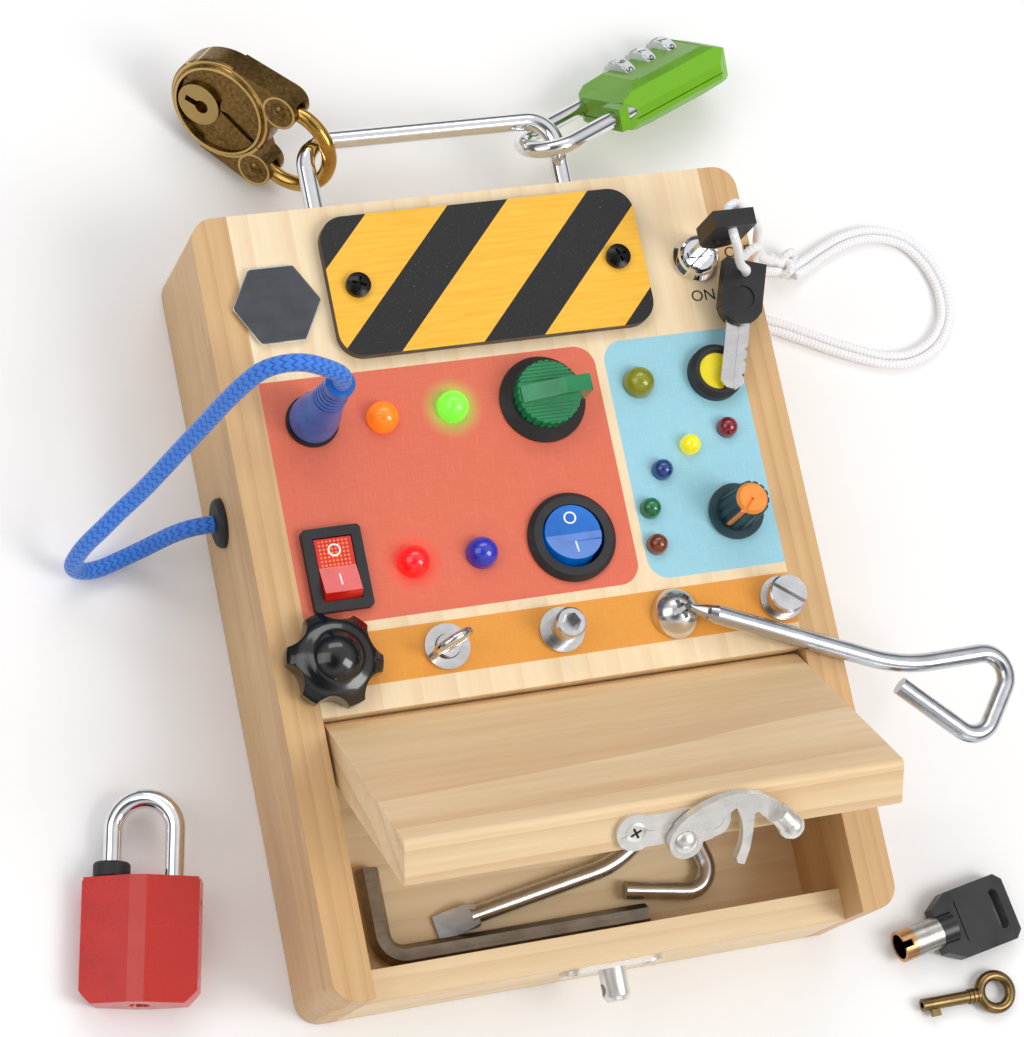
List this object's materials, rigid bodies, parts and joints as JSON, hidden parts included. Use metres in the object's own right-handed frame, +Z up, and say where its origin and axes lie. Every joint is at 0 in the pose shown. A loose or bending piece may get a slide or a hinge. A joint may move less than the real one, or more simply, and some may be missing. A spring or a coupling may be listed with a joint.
{
  "type": "wooden busy board",
  "caption": "Wooden activity board for toddlers with switches, lamps, bolts, a latched tool box, a lanyard key switch and padlocks on a carrying handle.",
  "frame": {"origin": "centre of the board's back face, on the table the board lies on", "axes": "+Z up out of the face with the switches, +Y towards the carrying handle, +X to the right seen from the front"},
  "size_m": [0.273, 0.2795, 0.0935],
  "materials": {
    "maple": "satin",
    "maple_edge": "satin",
    "plywood": "satin",
    "steel": "brushed",
    "chrome": "polished",
    "black_plastic": "matt",
    "gloss_black": "gloss",
    "sign_print": "satin",
    "mirror_face": "mirror",
    "lamp_red": "clear, lit",
    "lamp_green": "clear, lit",
    "red_plastic": "gloss",
    "blue_plastic": "gloss",
    "green_plastic": "translucent",
    "yellow_plastic": "gloss",
    "teal_plastic": "satin",
    "grey_plastic": "matt",
    "cell_jacket": "gloss",
    "white_braid": "braided",
    "blue_braid": "braided",
    "rubber": "matt",
    "brass": "aged",
    "lime_paint": "satin",
    "red_paint": "satin",
    "tool_steel": "dull",
    "zinc": "satin"
  },
  "bodies": {
    "board": {"side_walls": "maple_edge", "top_rail": "maple", "face_panel": "maple", "divider": "maple", "bottom_wall": "maple", "back_panel": "plywood", "battery_box": "grey_plastic", "batteries": "cell_jacket", "handle": "chrome", "sign_plate": "sign_print", "screws": "steel", "mirror_tile": "mirror_face", "lamps_big": "lamp_red", "lamps_small": "lamp_green", "rocker_rect_case": "black_plastic", "rocker_round_case": "black_plastic", "selector_case": "black_plastic", "button_case": "black_plastic", "pot_case": "steel", "key_switch_case": "chrome", "jack": "black_plastic", "grommet": "rubber", "washers": "steel", "keeper": "steel", "rope": "blue_braid", "white_cord": "white_braid"},
    "battery_cover": {"battery_door": "grey_plastic"},
    "rocker_one": {"rocker_rect": "red_plastic"},
    "rocker_two": {"rocker_round": "blue_plastic"},
    "selector": {"selector_knob": "green_plastic"},
    "button": {"button_cap": "yellow_plastic"},
    "dial_knob": {"pot_knob": "teal_plastic"},
    "barrel": {"key_barrel": "chrome"},
    "key_a": {"key_blade_a": "chrome", "key_head_a": "black_plastic"},
    "key_b": {"key_blade_b": "chrome", "key_head_b": "black_plastic"},
    "plug": {"plug": "blue_plastic"},
    "star": {"star_knob": "gloss_black"},
    "eye": {"eye_screw": "steel"},
    "socket": {"socket_bolt": "steel"},
    "dome": {"dome_bolt": "steel"},
    "slotted": {"slotted_bolt": "steel"},
    "lid": {"lid": "maple", "latch_base": "steel"},
    "latch": {"latch_arm": "steel"},
    "cross_driver": {"cross_tool": "zinc"},
    "hex_wrench": {"hex_key": "tool_steel"},
    "flat_driver": {"flat_tool": "zinc"},
    "round_lock": {"round_lock_case": "brass"},
    "round_shackle": {"round_lock_shackle": "brass"},
    "dial_lock": {"dial_lock_case": "lime_paint"},
    "dial_shackle": {"dial_lock_shackle": "chrome"},
    "wheel_a": {"dial_a": "chrome"},
    "wheel_b": {"dial_b": "chrome"},
    "wheel_c": {"dial_c": "chrome"},
    "small_lock": {"small_lock_case": "red_paint"},
    "small_shackle": {"small_lock_shackle": "chrome"},
    "loose_tube_key": {"tube_key": "black_plastic"},
    "loose_brass_key": {"brass_key": "brass"}
  },
  "joints": [
    {"name": "lid_hinge", "type": "hinge", "parent": "board", "child": "lid", "pos_m": [0, -0.0366, 0.0367], "axis": [-1, 0, 0], "range_deg": [-53, 29]},
    {"name": "latch_turn", "type": "hinge", "parent": "lid", "child": "latch", "pos_m": [0.0051, -0.07717, 0.08389], "axis": [0, 0.6018, -0.7986], "range_deg": [0, 118]},
    {"name": "rocker_one_tilt", "type": "hinge", "parent": "board", "child": "rocker_one", "pos_m": [-0.0529, 0.0055, 0.042], "axis": [1, 0, 0], "range_deg": [0, 18]},
    {"name": "rocker_two_tilt", "type": "hinge", "parent": "board", "child": "rocker_two", "pos_m": [0.0083, 0.0056, 0.042], "axis": [1, 0, 0], "range_deg": [0, 18]},
    {"name": "selector_turn", "type": "hinge", "parent": "board", "child": "selector", "pos_m": [0.0083, 0.0418, 0.05], "axis": [0, 0, 1], "range_deg": [0, 90]},
    {"name": "button_press", "type": "slide", "parent": "board", "child": "button", "axis": [0, 0, 1], "range_m": [-0.0015, 0], "stiffness_N_per_m": 400},
    {"name": "dial_knob_turn", "type": "hinge", "parent": "board", "child": "dial_knob", "pos_m": [0.0527, 0.0064, 0.05], "axis": [0, 0, -1], "range_deg": [0, 270]},
    {"name": "key_turn", "type": "hinge", "parent": "board", "child": "barrel", "pos_m": [0.0572, 0.0742, 0.045], "axis": [0, 0, -1], "range_deg": [0, 90], "deforming": ["white_cord"]},
    {"name": "key_a_pull", "type": "slide", "parent": "barrel", "child": "key_a", "axis": [0, 0, 1], "range_m": [0, 0.03], "deforming": ["white_cord"]},
    {"name": "key_b_lift", "type": "slide", "parent": "board", "child": "key_b", "axis": [0, 0, 1], "range_m": [0, 0.03], "deforming": ["white_cord"]},
    {"name": "plug_pull", "type": "slide", "parent": "board", "child": "plug", "axis": [0, 0, 1], "range_m": [0, 0.03], "deforming": ["rope"]},
    {"name": "star_spin", "type": "hinge", "parent": "board", "child": "star", "pos_m": [-0.0586, -0.0173, 0.04], "axis": [0, 0, 1], "continuous": true},
    {"name": "eye_spin", "type": "hinge", "parent": "board", "child": "eye", "pos_m": [-0.0291, -0.0173, 0.04], "axis": [0, 0, 1], "continuous": true},
    {"name": "socket_spin", "type": "hinge", "parent": "board", "child": "socket", "pos_m": [0.0008, -0.0173, 0.04], "axis": [0, 0, 1], "continuous": true},
    {"name": "dome_spin", "type": "hinge", "parent": "board", "child": "dome", "pos_m": [0.0312, -0.0173, 0.04], "axis": [0, 0, 1], "continuous": true},
    {"name": "slotted_spin", "type": "hinge", "parent": "board", "child": "slotted", "pos_m": [0.0598, -0.0173, 0.04], "axis": [0, 0, 1], "continuous": true},
    {"name": "cross_driver_lift", "type": "slide", "parent": "board", "child": "cross_driver", "axis": [0, 0, 1], "range_m": [0, 0.03]},
    {"name": "hex_wrench_lift", "type": "slide", "parent": "board", "child": "hex_wrench", "axis": [0, 0, 1], "range_m": [0, 0.03]},
    {"name": "flat_driver_lift", "type": "slide", "parent": "board", "child": "flat_driver", "axis": [0, 0, 1], "range_m": [0, 0.03]},
    {"name": "round_lock_swing", "type": "hinge", "parent": "board", "child": "round_lock", "pos_m": [-0.03215, 0.12165, 0.0214], "axis": [0.7071, 0.7071, 0], "range_deg": [0, 35]},
    {"name": "round_lock_open", "type": "hinge", "parent": "round_lock", "child": "round_shackle", "pos_m": [-0.04198, 0.12459, 0.00717], "axis": [0.7018, 0.6158, -0.358], "range_deg": [0, 20]},
    {"name": "dial_lock_swing", "type": "hinge", "parent": "board", "child": "dial_lock", "pos_m": [0.03215, 0.12165, 0.0214], "axis": [0.7071, -0.7071, 0], "range_deg": [0, 18]},
    {"name": "dial_shackle_pull", "type": "slide", "parent": "dial_lock", "child": "dial_shackle", "axis": [-0.8943, -0.3972, 0.2062], "range_m": [0, 0.007]},
    {"name": "wheel_a_spin", "type": "hinge", "parent": "dial_lock", "child": "wheel_a", "pos_m": [0.06073, 0.13687, 0.01125], "axis": [-0.8943, -0.3972, 0.2062], "continuous": true},
    {"name": "wheel_b_spin", "type": "hinge", "parent": "dial_lock", "child": "wheel_b", "pos_m": [0.06807, 0.14012, 0.00955], "axis": [-0.8943, -0.3972, 0.2062], "continuous": true},
    {"name": "wheel_c_spin", "type": "hinge", "parent": "dial_lock", "child": "wheel_c", "pos_m": [0.0754, 0.14338, 0.00786], "axis": [-0.8943, -0.3972, 0.2062], "continuous": true},
    {"name": "small_lock_lift", "type": "slide", "parent": "board", "child": "small_lock", "axis": [0, 0, 1], "range_m": [0, 0.03]},
    {"name": "small_shackle_pull", "type": "slide", "parent": "small_lock", "child": "small_shackle", "axis": [0.2062, 0.9785, 0], "range_m": [0, 0.006]},
    {"name": "tube_key_lift", "type": "slide", "parent": "board", "child": "loose_tube_key", "axis": [0, 0, 1], "range_m": [0, 0.03]},
    {"name": "brass_key_lift", "type": "slide", "parent": "board", "child": "loose_brass_key", "axis": [0, 0, 1], "range_m": [0, 0.03]},
    {"name": "battery_cover_pull", "type": "slide", "parent": "board", "child": "battery_cover", "axis": [0, 0, -1], "range_m": [0, 0.012]}
  ]
}
